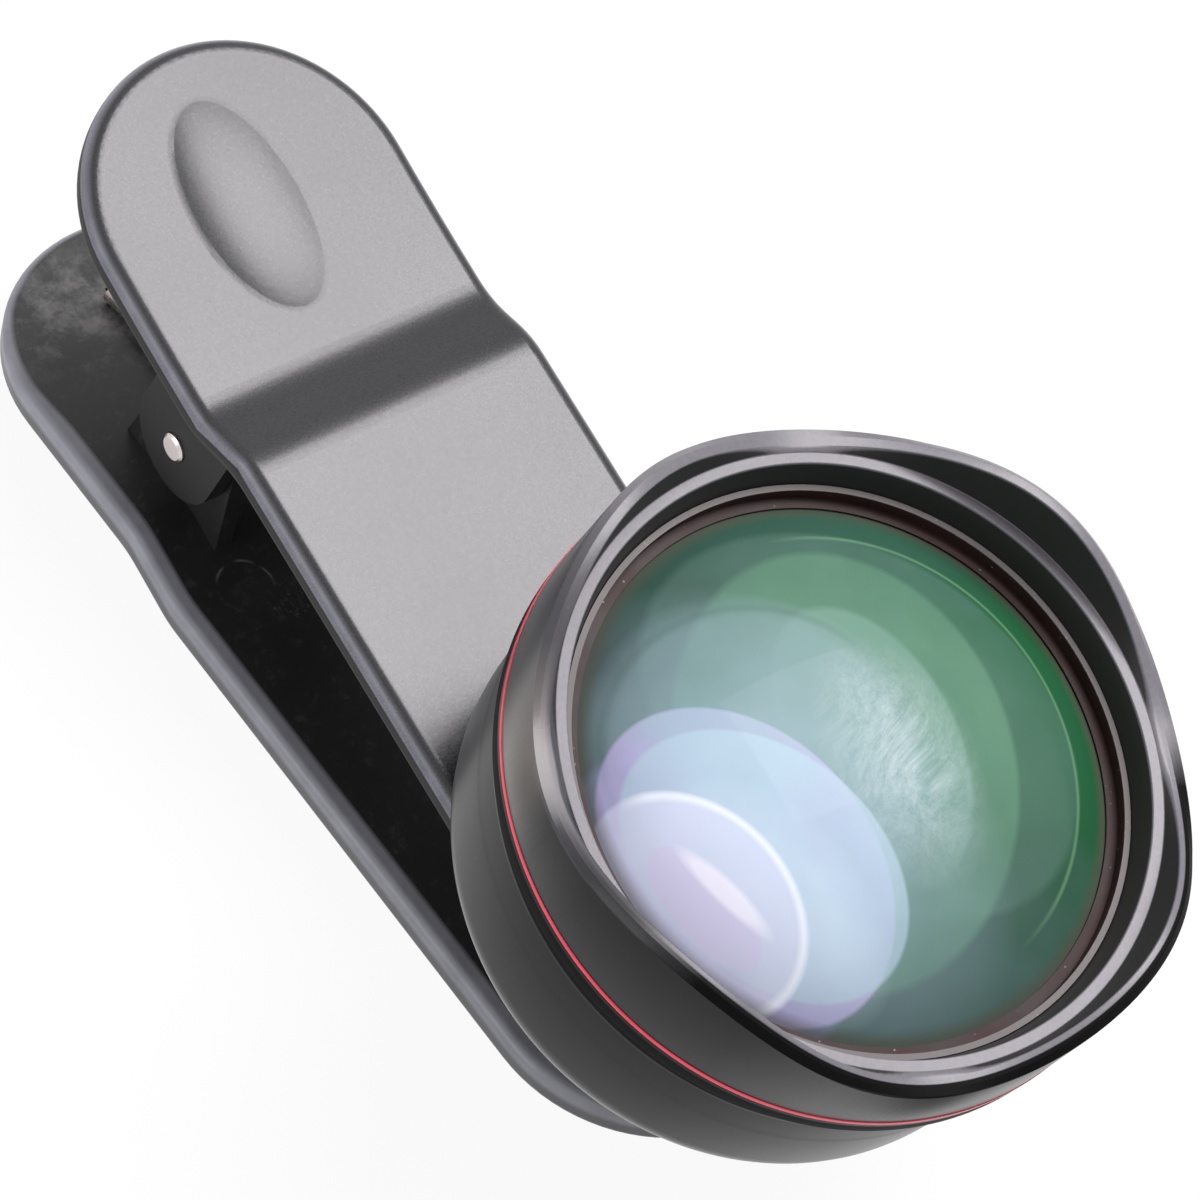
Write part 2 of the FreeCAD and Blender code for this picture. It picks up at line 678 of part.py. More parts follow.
def barrel():
    """Body with a rounded rear shoulder, a slight taper and a flange at the front."""
    shoulder = d.shoulder_radius
    rear_radius = d.flange_radius - d.rear_inset
    groove_radius = d.flange_radius - d.groove_inset
    cavity_radius = d.flange_radius - d.cavity_inset
    cavity = d.barrel_rear + d.rear_wall
    chamfer_low = d.joint_height - d.flange_height - d.flange_chamfer
    groove_low = chamfer_low - d.groove_width
    return turned("barrel", [
        (d.thread_radius, d.barrel_rear),
        (rear_radius - shoulder, d.barrel_rear, shoulder, 1),
        (rear_radius, d.barrel_rear + shoulder),
        (d.flange_radius - d.front_inset, groove_low), (groove_radius, groove_low),
        (groove_radius, chamfer_low), (d.flange_radius - d.flange_chamfer, chamfer_low),
        (d.flange_radius, d.joint_height - d.flange_height),
        (d.flange_radius, d.joint_height), (spigot_bore, d.joint_height),
        (spigot_bore, barrel_ledge), (cavity_radius, barrel_ledge),
        (cavity_radius, d.barrel_rear + shoulder), (cell_flange + d.cone_gap, cavity),
        (d.thread_radius, cavity)])


def accent_ring():
    """Thin ring held between the flange and the hood."""
    top = d.joint_height + d.accent_width
    outer = d.flange_radius + d.accent_proud
    return turned("accent_ring", [
        (spigot_bore, d.joint_height), (outer, d.joint_height),
        (outer, top), (spigot_bore, top)])


def rim_height(angle):
    """Height of the wavy rim at an angle about the lens axis."""
    phase = angle - radians(d.petal_angle.value)
    return rim_mean.value + d.rim_wave.value * cos(round(d.petals.value) * phase)


def rim_cutter():
    """Ring of metal above the wavy rim, with a chamfer that follows the wave."""
    edge = d.flange_radius.value - d.rim_chamfer.value
    inside = (ledge_inner.value + hood_wall_low.value) / 2
    outside = d.flange_radius.value + d.rim_chamfer.value
    above = 2 * d.rim_wave.value + d.trim_margin.value
    section = [(inside, 0), (edge, 0), (outside, edge - outside),
               (outside, above), (inside, above)]
    samples = round(d.rim_samples.value) * round(d.petals.value)
    loops = []
    for radius, lift in section:
        points = []
        for step in range(samples):
            angle = 2 * pi * step / samples
            height = rim_height(angle) + lift
            points.append(Vector(radius * cos(angle), radius * sin(angle), height))
        curve = Part.BSplineCurve()
        curve.interpolate(Points=points, PeriodicFlag=True)
        loops.append(curve.toShape())
    faces = []
    for number, loop in enumerate(loops):
        faces.append(Part.makeRuledSurface(loop, loops[(number + 1) % len(loops)]))
    solid = Part.Solid(Part.Shell(faces))
    if solid.Volume < 0:
        solid.reverse()
    feature = doc.addObject("Part::Feature", "rim_cutter")
    feature.Shape = solid
    return feature


def petal_hood():
    """Front cell and hood in one: spigot, glass seat, two inner steps and a petal rim."""
    base = d.joint_height + d.accent_width
    spigot = spigot_bore - d.spigot_clearance
    seat = cell_bore - d.seat_width
    foot = barrel_ledge + d.baffle_thickness
    top = rim_mean + d.rim_wave + d.rim_chamfer
    blank = turned("hood_blank", [
        (seat, foot), (spigot, foot), (spigot, base), (d.flange_radius, base),
        (d.flange_radius, top), (d.flange_radius - d.hood_wall_high, top),
        (hood_wall_low, hood_ledge), (ledge_inner, hood_ledge), (cell_bore, retainer_top),
        (cell_bore, cell_seat_height), (seat, cell_seat_height)])
    hood = doc.addObject("Part::Cut", "petal_hood")
    hood.Label = "petal_hood"
    hood.Base = blank
    hood.Tool = rim_cutter()
    doc.recompute()
    return hood


def glass_apex():
    """Height of the front glass on the lens axis."""
    return glass_height + sagitta(d.glass_curve, glass_clear)


def front_retaining_ring():
    """Threaded ring with a thin lip on the glass and a raised outer part."""
    lip = glass_height + d.retainer_gap
    ridge = retainer_outer - d.retainer_ridge
    edge = glass_apex() - sagitta(d.glass_curve, glass_radius) + d.retainer_gap
    return turned("front_retaining_ring", [
        (glass_clear, lip), (glass_radius, edge), (retainer_outer, edge),
        (retainer_outer, retainer_top), (ridge, retainer_top),
        (ridge, lip + d.retainer_lip), (glass_clear, lip + d.retainer_lip)])


def front_element():
    """Large glass, convex in front and flat behind."""
    edge = glass_apex() - sagitta(d.glass_curve, glass_radius)
    return turned("front_element", [
        (ZERO, crown_rear), (glass_radius, crown_rear),
        (glass_radius, edge, d.glass_curve, 1), (ZERO, glass_apex())])


def front_flint_element():
    """Second glass, flat in front and hollow behind, on the cell's seat."""
    edge = cell_seat_height
    middle = edge + sagitta(d.flint_curve, glass_radius)
    return turned("front_flint_element", [
        (ZERO, middle, d.flint_curve, -1), (glass_radius, edge),
        (glass_radius, crown_rear), (ZERO, crown_rear)])


def light_baffle():
    """Black washer on the barrel's ledge, under the spigot."""
    top = barrel_ledge + d.baffle_thickness
    outer = spigot_bore - d.spigot_clearance
    return turned("light_baffle", [
        (d.baffle_opening, barrel_ledge), (outer, barrel_ledge), (outer, top),
        (d.baffle_opening, top)])


def cell_floor():
    """Front face of the lip behind the rear glasses."""
    return d.neck_top + d.cell_lip + d.thread_clearance


def rear_cell():
    """Turned cup on the barrel's rear wall that holds the rear glasses."""
    wall = d.barrel_rear + d.rear_wall
    floor = cell_floor()
    return turned("rear_cell", [
        (d.thread_radius, wall), (cell_flange, wall),
        (cell_flange, wall + d.cell_flange_height),
        (d.cell_outer, wall + d.cell_flange_height), (d.cell_outer, d.cell_top),
        (d.cell_inner, d.cell_top), (d.cell_inner, floor), (d.cell_opening, floor),
        (d.cell_opening, floor - d.cell_lip), (d.thread_radius, floor - d.cell_lip)])


def rear_glass_radius():
    """Edge radius of everything held in the rear cell."""
    return d.cell_inner - d.small_clearance


def rear_back_element():
    """Rearmost glass, flat behind and hollow in front."""
    edge = cell_floor() + d.rear_glass_edge
    middle = edge - sagitta(d.rear_glass_curve, rear_glass_radius())
    return turned("rear_back_element", [
        (ZERO, cell_floor()), (rear_glass_radius(), cell_floor()),
        (rear_glass_radius(), edge, d.rear_glass_curve, -1), (ZERO, middle)])


def rear_spacer():
    """Ring between the two rear glasses."""
    low = cell_floor() + d.rear_glass_edge
    high = low + d.spacer_length
    return turned("rear_spacer", [
        (d.spacer_inner, low), (rear_glass_radius(), low),
        (rear_glass_radius(), high), (d.spacer_inner, high)])


def middle_glass_edge_top():
    """Edge of the rear pair's front glass."""
    return cell_floor() + d.rear_glass_edge + d.spacer_length + d.middle_glass_edge


def rear_front_element():
    """Glass ahead of the rearmost one, flat behind and convex in front."""
    low = middle_glass_edge_top() - d.middle_glass_edge
    apex = middle_glass_edge_top() + sagitta(d.middle_glass_curve, rear_glass_radius())
    return turned("rear_front_element", [
        (ZERO, low), (rear_glass_radius(), low),
        (rear_glass_radius(), middle_glass_edge_top(), d.middle_glass_curve, 1), (ZERO, apex)])


def rear_retaining_ring():
    """Threaded ring on top of the rear pair, with a slanted underside."""
    curve = d.middle_glass_curve
    edge = middle_glass_edge_top() + d.retainer_gap
    inner = edge + sagitta(curve, rear_glass_radius()) - sagitta(curve, d.spacer_inner)
    return turned("rear_retaining_ring", [
        (d.spacer_inner, inner), (rear_glass_radius(), edge),
        (rear_glass_radius(), d.cell_top), (d.spacer_inner, d.cell_top)])


# Assembly. The front arm and all that it carries turn about the hinge axis.

angle = closed_angle()
hinge = Placement(Vector(0, d.back_reach.value, d.back_height.value), Rotation())
front = hinge * Placement(Vector(0, 0, 0), Rotation(Vector(1, 0, 0), degrees(angle)))
lens = front * Placement(Vector(0, -d.front_reach.value, d.front_height.value), Rotation())
across = Placement(Vector(0, 0, 0), Rotation(Vector(1, 1, 1), 120))

placed = [
    (back_arm(), hinge),
    (back_jaw_pad(), Placement()),
    (hinge_pin(), hinge * across),
    (torsion_spring(angle), hinge * across),
    (front_arm(), front),
    (front_jaw_pad(), lens),
    (mount_ring(), lens),
    (mount_neck(), lens),
    (seat_washer(), lens),
    (barrel(), lens),
    (accent_ring(), lens),
    (petal_hood(), lens),
    (front_retaining_ring(), lens),
    (front_element(), lens),
    (front_flint_element(), lens),
    (light_baffle(), lens),
    (rear_cell(), lens),
    (rear_back_element(), lens),
    (rear_spacer(), lens),
    (rear_front_element(), lens),
    (rear_retaining_ring(), lens),
]
for piece, place in placed:
    piece.Placement = place
doc.recompute()

for item in doc.Objects:
    if "Invalid" in item.State or "Error" in item.State:
        raise RuntimeError("%s did not build: %s" % (item.Label, item.State))
for piece, place in placed:
    if piece.Shape.isNull() or not piece.Shape.isValid() or not piece.Shape.Solids:
        raise RuntimeError(piece.Label + " has no valid solid")
for piece, place in placed:
    piece.Shape.exportStep("parts/%s.step" % piece.Label)
print("closed angle %.3f degrees, %d pieces" % (degrees(angle), len(placed)))
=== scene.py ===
import json
import math

import bmesh
import bpy
from mathutils import Matrix, Quaternion, Vector


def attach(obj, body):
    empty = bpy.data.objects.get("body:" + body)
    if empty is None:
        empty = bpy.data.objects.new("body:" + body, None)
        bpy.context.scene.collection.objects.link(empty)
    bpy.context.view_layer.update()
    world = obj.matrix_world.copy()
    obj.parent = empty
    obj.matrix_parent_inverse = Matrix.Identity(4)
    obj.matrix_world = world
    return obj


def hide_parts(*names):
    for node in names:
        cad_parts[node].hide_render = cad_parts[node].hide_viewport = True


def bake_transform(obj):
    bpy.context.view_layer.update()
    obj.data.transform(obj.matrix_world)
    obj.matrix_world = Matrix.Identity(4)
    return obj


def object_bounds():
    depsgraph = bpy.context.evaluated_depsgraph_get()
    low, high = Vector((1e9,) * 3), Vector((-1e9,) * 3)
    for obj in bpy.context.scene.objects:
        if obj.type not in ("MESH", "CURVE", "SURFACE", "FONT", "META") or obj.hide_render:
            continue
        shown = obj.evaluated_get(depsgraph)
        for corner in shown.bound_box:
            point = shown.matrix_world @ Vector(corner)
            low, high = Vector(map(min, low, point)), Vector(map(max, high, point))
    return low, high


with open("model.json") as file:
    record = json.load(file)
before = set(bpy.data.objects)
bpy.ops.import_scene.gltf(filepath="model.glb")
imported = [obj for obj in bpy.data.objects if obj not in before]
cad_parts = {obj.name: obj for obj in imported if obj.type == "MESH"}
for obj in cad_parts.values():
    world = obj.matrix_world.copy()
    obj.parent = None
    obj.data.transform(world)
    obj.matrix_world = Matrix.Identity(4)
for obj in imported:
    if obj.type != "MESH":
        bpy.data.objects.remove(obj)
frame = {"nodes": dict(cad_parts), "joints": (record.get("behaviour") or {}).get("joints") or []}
nodes = frame["nodes"]
cad_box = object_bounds()

MM = 0.001

# Places that the pieces below are built from, in the row frame.
joints = {joint["name"]: joint for joint in frame["joints"]}
HINGE = Vector(joints["jaw_open"]["pos_m"])
LENS_FOOT = Vector(joints["lens_unscrew"]["pos_m"])
LENS_AXIS = Vector(joints["lens_unscrew"]["axis"]).normalized()
LENS_ALONG = Vector((0, LENS_AXIS.z, -LENS_AXIS.y))
JAW_TILT = math.atan2(-LENS_AXIS.y, LENS_AXIS.z)
LENS_FRAME = Matrix.Translation(LENS_FOOT) @ Matrix.Rotation(JAW_TILT, 4, "X")

# Sizes of the lens, in millimetres. Heights are above the front arm's outer face.
BARREL_REAR = 3.55
SHOULDER = 6.0
REAR_RADIUS = 20.25
FRONT_RADIUS = 21.15
GROOVE_RADIUS = 20.7
GROOVE_LOW = 18.65
CHAMFER_LOW = 18.95
CHAMFER = 0.9
FLANGE_LOW = 19.85
FLANGE = 21.9
JOINT = 21.25
SPIGOT_BORE = 19.85
SPIGOT = 19.8
BARREL_LEDGE = 13.2
CAVITY_RADIUS = 18.0
CAVITY_FLOOR = 5.6
CONE_RADIUS = 14.6
THREAD_RADIUS = 8.5
THREAD_PITCH = 0.5
ACCENT_WIDTH = 0.4
ACCENT_RADIUS = 21.95
HOOD_FOOT = 14.05
SEAT_RADIUS = 17.2
GLASS_RADIUS = 17.5
CELL_BORE = 19.05
SEAT_HEIGHT = 15.0
RETAINER_TOP = 24.85
LEDGE = 26.8
LEDGE_INNER = 19.6
WALL_LOW = 20.35
WALL_HIGH = 20.8
RIM_MEAN = 28.5
RIM_WAVE = 1.65
RIM_CHAMFER = 0.45
PETALS = 4
PETAL_ANGLE = math.radians(22)
WAVE_START = 0.2
EDGE = 0.09

# Steps of a full turn, of a fine edge and of the barrel's wide shoulder.
TURN_STEPS = 256
EDGE_STEPS = 4
SHOULDER_STEPS = 14

# The largest share of an outline's straight side that one rounding takes.
ROUNDING_SHARE = 0.45

# Sizes of the arms, in millimetres. The front arm's run from the lens's axis.
HALF_WIDTH = 12.5
ARM_THICKNESS = 2.5
REACH = 47.0
THUMB_REACH = 10.25
BEND_START = 2.5
BEND_RUN = 4.2
STEP = 2.0
CURL = 1.7
OUTER_ROUND = 1.2
BACK_REACH = 47.25
BACK_THUMB_REACH = 11.85
BACK_BEND_START = 1.1
BACK_BEND_RUN = 5.6
BACK_STEP = 1.75

# Marks on the back arm's inner face, in millimetres across and along the arm.
SCUFFS = (-5.2, 64.5)
MOULDING_RING = (-6.9, 39.4)
MOULDING_RING_RADIUS = 2.125
SCRATCHES = (-4.6, 36.8)

# Directions round the lens's axis, in radians from the hinge's own direction: the side with
# painted shade, the turns of the painted warm reflection and the low side of the rim's painted
# dark edge.
SHADED_SIDE = math.radians(195)
WARM_REFLECTION_TURNS = (2.50, 2.80)
LOW_SIDE = (-2.88, -0.45)

# Fine lines that turning leaves, a millimetre.
TURNED_LINES = 14

# Sizes of the spring, in millimetres, about the hinge axis.
COIL_RADIUS = 2.9
COIL_PITCH = 1.22
COIL_TURNS = 4
COIL_SHIFT = 1.7
WIRE_RADIUS = 0.55
WIRE_SIDES = 20
STEPS_A_TURN = 44
BACK_LEG_TIP = (17.4, -6.13)
FRONT_LEG_TIP = (15.0, 9.29)
LEG_SHARES = (0.25, 0.5, 0.75, 1.0)


# Shader helpers

NOISE_RANGE = (0.3, 0.7)


class Value:
    """A shader socket that Python expressions can work on."""

    def __init__(self, owner, socket):
        self.owner = owner
        self.socket = socket

    def math(self, operation, *others):
        """A Math node on this value and others."""
        return self.owner.node("ShaderNodeMath", {"operation": operation},
                               dict(enumerate((self, *others))))

    def vector(self, operation, other, out="Vector"):
        """A Vector Math node on this value and another."""
        return self.owner.node("ShaderNodeVectorMath", {"operation": operation},
                               {0: self, 1: other}, out)

    def larger(self, other):
        """The larger of this value and another."""
        return self.math("MAXIMUM", other)

    def remap(self, low, high, to_low=0.0, to_high=1.0):
        """This value stretched from one range to another and kept inside it."""
        return self.owner.node("ShaderNodeMapRange", {"clamp": True}, {
            "Value": self, "From Min": low, "From Max": high,
            "To Min": to_low, "To Max": to_high})

    def spread(self, to_low=0.0, to_high=1.0):
        """A noise's usual range stretched to another."""
        return self.remap(*NOISE_RANGE, to_low, to_high)

    def band(self, low, high, soft):
        """1 between two limits and 0 outside them, with soft edges."""
        rise = self.remap(low - soft, low + soft)
        return rise * self.remap(high - soft, high + soft, 1.0, 0.0)

    def __add__(self, other):
        return self.math("ADD", other)

    def __sub__(self, other):
        return self.math("SUBTRACT", other)

    def __rsub__(self, other):
        return self.owner.node("ShaderNodeMath", {"operation": "SUBTRACT"}, {0: other, 1: self})

    def __mul__(self, other):
        return self.math("MULTIPLY", other)

    def __truediv__(self, other):
        return self.math("DIVIDE", other)

    __radd__ = __add__
    __rmul__ = __mul__


class NodeTree:
    """The nodes of a material or of the world."""

    def __init__(self, tree):
        self.tree = tree

    def set(self, node, values):
        """Values or links for a node's sockets, with a colour as three numbers."""
        for key, value in values.items():
            socket = node.inputs[key]
            if isinstance(value, Value):
                self.tree.links.new(value.socket, socket)
            elif socket.type == "RGBA":
                socket.default_value = (*value, 1)
            else:
                socket.default_value = value

    def node(self, kind, settings, values, out=0):
        """A node of any kind; its settings are set first, then its sockets."""
        node = self.tree.nodes.new(kind)
        for key, value in settings.items():
            setattr(node, key, value)
        self.set(node, values)
        return Value(self, node.outputs[out])

    def white_for_eye(self):
        """1 for the rays that see the white background as it is."""
        seen, glossy, through = [
            self.node("ShaderNodeLightPath", {}, {}, out=ray)
            for ray in ("Is Camera Ray", "Is Glossy Ray", "Is Transmission Ray")]
        return seen.larger(glossy).larger(through)


class Shader(NodeTree):
    """A material: its main surface, and others laid over it."""

    def __init__(self, name, roughness=0.5, metallic=0.0, colour=(0.8, 0.8, 0.8)):
        self.material = bpy.data.materials.new(name)
        self.material.use_nodes = True
        super().__init__(self.material.node_tree)
        self.surface = self.tree.nodes["Principled BSDF"]
        self.output = self.tree.nodes["Material Output"]
        self.top = Value(self, self.surface.outputs[0])
        self.point = self.node("ShaderNodeTexCoord", {}, {}, out="Object")
        self.set(self.surface, {"Roughness": roughness, "Metallic": metallic,
                                "Base Color": colour})

    def noise(self, scale, detail=2.0, roughness=0.5, point=None):
        """Cloudy values from 0 to 1 over the piece; scale is in lumps per metre."""
        return self.node("ShaderNodeTexNoise", {"noise_dimensions": "3D"}, {
            "Vector": point or self.point, "Scale": scale, "Detail": detail,
            "Roughness": roughness}, out="Fac")

    def flat_point(self, first, second):
        """A pattern's point from two values."""
        return self.node("ShaderNodeCombineXYZ", {}, {0: first, 1: second}, out="Vector")

    def blend(self, share, first, second):
        """Mix of two colours."""
        return self.node("ShaderNodeMix", {"data_type": "RGBA"}, {
            0: share, 6: first, 7: second}, out=2)

    def bump(self, height, strength, distance):
        """Relief from a height value."""
        return self.node("ShaderNodeBump", {}, {
            "Height": height, "Strength": strength, "Distance": distance}, out="Normal")

    def dust(self, scale, size, patches):
        """Small round specks, where the patches are."""
        cells = self.node("ShaderNodeTexVoronoi", {"feature": "F1"}, {
            "Vector": self.point, "Scale": scale, "Randomness": 1.0}, out="Distance")
        return cells.remap(size, size * 1.6, 1.0, 0.0) * patches

    def layer(self, colour, roughness, specular):
        """Another surface, to lay over the main one."""
        return self.node("ShaderNodeBsdfPrincipled", {}, {
            "Base Color": colour, "Roughness": roughness, "Specular IOR Level": specular},
            out="BSDF")

    def cover(self, share, layer):
        """Lays another surface over what is there, by a share."""
        self.top = self.node("ShaderNodeMixShader", {}, {0: share, 1: self.top, 2: layer},
                             out="Shader")
        self.set(self.output, {"Surface": self.top})

    def finish(self, **values):
        """Feeds the main surface and gives the material."""
        self.set(self.surface, {key.replace("_", " "): value for key, value in values.items()})
        return self.material


def place_from(shader, origin, along, up):
    """Across, along and height from an origin, in millimetres."""
    offset = shader.point.vector("SUBTRACT", tuple(origin))
    return [offset.vector("DOT_PRODUCT", tuple(axis), out="Value") / MM
            for axis in ((1, 0, 0), along, up)]


def lens_place(shader):
    """Across, along and height in the lens's frame, in millimetres."""
    return place_from(shader, LENS_FOOT, LENS_ALONG, LENS_AXIS)


def distance(across, along):
    """Distance from the middle of a flat place."""
    return (across * across + along * along).math("SQRT")


def arm_edge(across, along, straight):
    """Distance from an arm's middle line, whose ends are the centres of its round ends."""
    past = along - along.larger(0.0).math("MINIMUM", straight)
    return distance(across, past)


def linear(red, green, blue):
    """Scene colour of a display colour given from 0 to 255."""
    return tuple(((value / 255 + 0.055) / 1.055) ** 2.4 for value in (red, green, blue))


# Materials

def moulded_plastic(name, dark, light):
    """Dark plastic with a fine moulded grain."""
    shader = Shader(name)
    grain = shader.noise(5200, 3.0, 0.7)
    cloud = shader.noise(70, 3.0)
    colour = shader.blend(grain.spread() * 0.5 + cloud * 0.5, dark, light)
    return shader, grain, cloud, colour


def front_plastic():
    """The front arm's satin plastic, with a painted highlight on its edge roundings, and matt
    walls.
    """
    shader, grain, cloud, colour = moulded_plastic(
        "front_plastic", (0.006, 0.006, 0.0065), (0.030, 0.028, 0.032))
    across, along, height = lens_place(shader)
    thumb_middle = REACH + THUMB_REACH
    out = arm_edge(across, along, thumb_middle)
    curl = along.remap(REACH - BEND_START, thumb_middle + HALF_WIDTH)
    face = along.remap(REACH - BEND_START - BEND_RUN, REACH - BEND_START, 0.0, -STEP)
    depth = face + curl * curl * CURL - height
    flat_half = HALF_WIDTH - OUTER_ROUND
    lean = (out - flat_half).math("ARCTAN2", OUTER_ROUND - depth)
    rounding = out.remap(flat_half, flat_half + 0.1)
    # Painted highlight on the lower part of the edge roundings, above the walls.
    painted_highlight = lean.remap(0.5, 1.05) * lean.remap(1.34, 1.46, 1.0, 0.0) * rounding
    mottle = shader.noise(600, 3.0).spread(0.75, 1.0)
    thumb = along.remap(REACH - BEND_START, thumb_middle, 0.0, 0.03)

    # The walls and the inner face, with a painted highlight as a thin line low on the walls.
    low_highlight_line = depth.band(ARM_THICKNESS - 0.45, ARM_THICKNESS - 0.2, 0.06) * rounding
    low_colour = shader.blend(low_highlight_line * mottle, (0.014, 0.014, 0.014), linear(92, 91, 98))
    wall = lean.remap(1.38, 1.5) * rounding
    inner_face = depth.remap(ARM_THICKNESS - 0.08, ARM_THICKNESS)
    shader.cover(inner_face.larger(wall), shader.layer(low_colour, 0.5, 0.2))
    return shader.finish(
        Base_Color=shader.blend(painted_highlight * mottle, colour, linear(122, 121, 132)),
        Roughness=grain.spread(0.23, 0.31) + thumb + (cloud - 0.5) * 0.06,
        Normal=shader.bump(shader.noise(2600), 0.16, 0.00003))


def back_plastic():
    """The back arm's plastic, with a painted highlight along its edge, and with wear on its inner
    face.
    """
    shader, grain, cloud, colour = moulded_plastic(
        "back_plastic", (0.012, 0.012, 0.013), (0.024, 0.023, 0.025))
    across, along, height = place_from(shader, (0, 0, 0), (0, 1, 0), (0, 0, 1))

    def from_mark(mark, squeeze=1.0):
        """Distance from a mark on the inner face."""
        return distance((across - mark[0]) * squeeze, along - mark[1])

    # Wear on the inner face: scuffs, the moulding ring and scratches.
    near_scuffs = from_mark(SCUFFS, 0.9).remap(3.0, 7.5, 1.0, 0.0)
    scuffs = shader.noise(330, 6.0, 0.75).remap(0.46, 0.66) * near_scuffs * 0.55
    fine = shader.noise(900, 5.0, 0.8).remap(0.56, 0.7) * 0.16
    ring = from_mark(MOULDING_RING).band(
        MOULDING_RING_RADIUS - 0.075, MOULDING_RING_RADIUS + 0.075, 0.07)
    ring = ring * shader.noise(500).remap(0.4, 0.55) * along.remap(
        MOULDING_RING[1] - 1.8, MOULDING_RING[1] - 0.8)
    lines = shader.noise(1400, point=shader.point.vector("MULTIPLY", (2.4, 0.5, 1.0)))
    scratches = lines.band(0.495, 0.505, 0.006) * from_mark(SCRATCHES).remap(1.0, 2.4, 1.0, 0.0)
    inside = height.remap(ARM_THICKNESS - 0.2, ARM_THICKNESS - 0.05)
    worn = (scuffs + fine).larger(ring * 0.6).larger(scratches * 0.8) * inside
    colour = shader.blend(worn, colour, linear(132, 130, 128))

    # The painted highlight along the edge, which narrows and fades round the thumb end and is
    # fainter low on the wall.
    out = arm_edge(across, along, BACK_REACH + BACK_THUMB_REACH)
    inner_edge = along.remap(56.0, 67.0, 10.8, 11.75)
    step_end = BACK_REACH - BACK_BEND_START
    rise = along.remap(step_end - BACK_BEND_RUN, step_end, 0.0, BACK_STEP)
    upper = (height - rise).remap(1.2, 1.8, 0.28, 1.0)
    mottle = shader.noise(400, 3.0).spread(0.8, 1.0)
    fading = along.remap(5.0, 60.0, 0.85, 1.0) * along.remap(60.0, 69.0, 1.0, 0.55)
    painted_highlight = (out - inner_edge).remap(0.0, 0.4) * upper * mottle * fading
    return shader.finish(
        Base_Color=shader.blend(painted_highlight, colour, linear(171, 170, 180)),
        Roughness=cloud.spread(0.32, 0.38) + worn * 0.2,
        Normal=shader.bump(grain, 0.3, 0.00002))


def dark_metal(name, colour, roughness):
    """Turned black metal."""
    shader = Shader(name)
    across, along, height = lens_place(shader)
    rings = shader.noise(1.0, point=shader.flat_point(
        distance(across, along) * TURNED_LINES, height * TURNED_LINES))
    dust = shader.dust(900, 0.06, shader.noise(300).remap(0.5, 0.65))
    return shader.finish(
        Base_Color=shader.blend(dust * 0.4, colour, linear(150, 148, 146)),
        Roughness=rings.spread(roughness - 0.05, roughness + 0.07),
        Normal=shader.bump(shader.noise(6000), 0.15, 0.00002))


